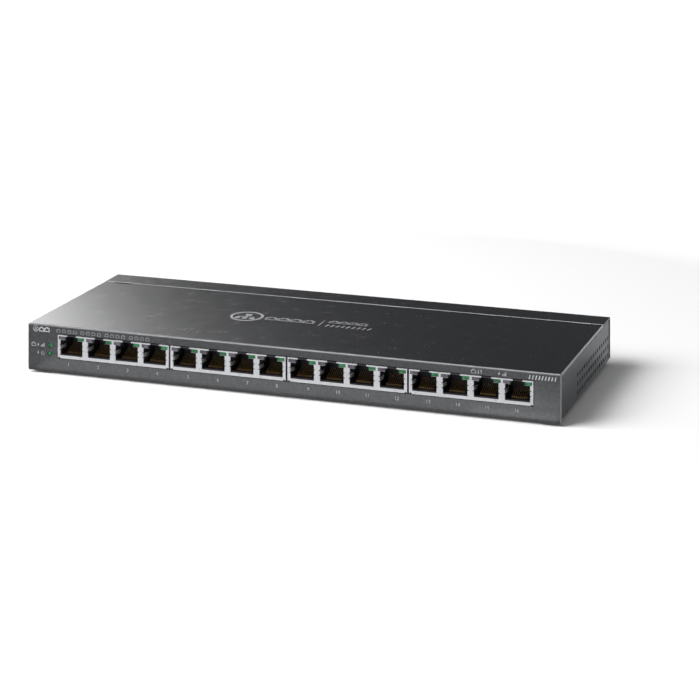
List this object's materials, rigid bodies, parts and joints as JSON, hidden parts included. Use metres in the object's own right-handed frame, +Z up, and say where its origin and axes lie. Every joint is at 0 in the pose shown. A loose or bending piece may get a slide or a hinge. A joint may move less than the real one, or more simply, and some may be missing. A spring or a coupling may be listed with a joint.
{
  "type": "desktop network switch",
  "caption": "Low folded-steel network switch with a front bank of modular network ports, status lights, vented side walls and rear power, mode and grounding points.",
  "frame": {"origin": "middle of the case's footprint, on the desk plane under the rubber feet", "axes": "+X to the right along the port bank, +Y from the port face to the rear wall, +Z up"},
  "size_m": [0.286, 0.1147, 0.0254],
  "materials": {
    "cover_paint": "fine powder coat, dark grey",
    "chassis_paint": "fine powder coat, dark grey",
    "black_steel": "black zinc",
    "rubber": "matt",
    "insulator_film": "milky film",
    "board_laminate": "green solder mask",
    "zinc_steel": "zinc plated",
    "shield_tin": "matt tin plate",
    "connector_plastic": "glass-filled moulding",
    "contact_gold": "gold flash",
    "clear_lens": "water clear, unlit",
    "green_lens": "green, lit",
    "chip_epoxy": "moulded epoxy",
    "heatsink_aluminium": "black anodised",
    "thermal_pad": "soft silicone",
    "capacitor_sleeve": "shrink sleeve",
    "ferrite": "pressed ferrite",
    "ceramic": "fired ceramic",
    "knob_plastic": "white moulding"
  },
  "bodies": {
    "case": {"top_cover": "cover_paint", "chassis": "chassis_paint", "cover_screws": "black_steel", "rubber_feet": "rubber", "insulator_sheet": "insulator_film", "main_board": "board_laminate", "board_standoffs": "zinc_steel", "board_screws": "zinc_steel", "port_block_1_shield": "shield_tin", "port_block_2_shield": "shield_tin", "port_block_3_shield": "shield_tin", "port_block_4_shield": "shield_tin", "port_block_1_housing": "connector_plastic", "port_block_2_housing": "connector_plastic", "port_block_3_housing": "connector_plastic", "port_block_4_housing": "connector_plastic", "port_block_1_contacts": "contact_gold", "port_block_2_contacts": "contact_gold", "port_block_3_contacts": "contact_gold", "port_block_4_contacts": "contact_gold", "port_block_1_link_lenses": "clear_lens", "port_block_2_link_lenses": "clear_lens", "port_block_3_link_lenses": "clear_lens", "port_block_4_link_lenses": "clear_lens", "port_block_1_power_lenses": "green_lens", "port_block_2_power_lenses": "green_lens", "port_block_3_power_lenses": "green_lens", "port_block_4_power_lenses": "green_lens", "status_led_holder": "connector_plastic", "status_leds": "green_lens", "lan_transformers": "chip_epoxy", "port_diodes": "chip_epoxy", "switch_chip": "chip_epoxy", "switch_heatsink": "heatsink_aluminium", "phy_chip": "chip_epoxy", "phy_heatsink": "heatsink_aluminium", "thermal_pads": "thermal_pad", "power_controllers": "chip_epoxy", "flash_chip": "chip_epoxy", "crystal": "zinc_steel", "bulk_capacitors": "capacitor_sleeve", "power_inductors": "ferrite", "power_transistors": "chip_epoxy", "fuse": "ceramic", "chip_capacitors": "ceramic", "dc_jack_housing": "connector_plastic", "dc_jack_pin": "zinc_steel", "dc_jack_spring": "zinc_steel", "mode_switch_base": "connector_plastic", "mode_switch_frame": "connector_plastic", "mode_switch_contacts": "zinc_steel", "ground_screw": "zinc_steel", "ground_washer": "zinc_steel", "ground_nut": "zinc_steel"},
    "mode_slider_1": {"mode_slider_1": "knob_plastic"},
    "mode_slider_2": {"mode_slider_2": "knob_plastic"},
    "mode_slider_3": {"mode_slider_3": "knob_plastic"}
  },
  "joints": [
    {"name": "mode_slider_1_slide", "type": "slide", "parent": "case", "child": "mode_slider_1", "axis": [0, 0, 1], "range_m": [0, 0.002]},
    {"name": "mode_slider_2_slide", "type": "slide", "parent": "case", "child": "mode_slider_2", "axis": [0, 0, 1], "range_m": [0, 0.002]},
    {"name": "mode_slider_3_slide", "type": "slide", "parent": "case", "child": "mode_slider_3", "axis": [0, 0, 1], "range_m": [0, 0.002]}
  ]
}
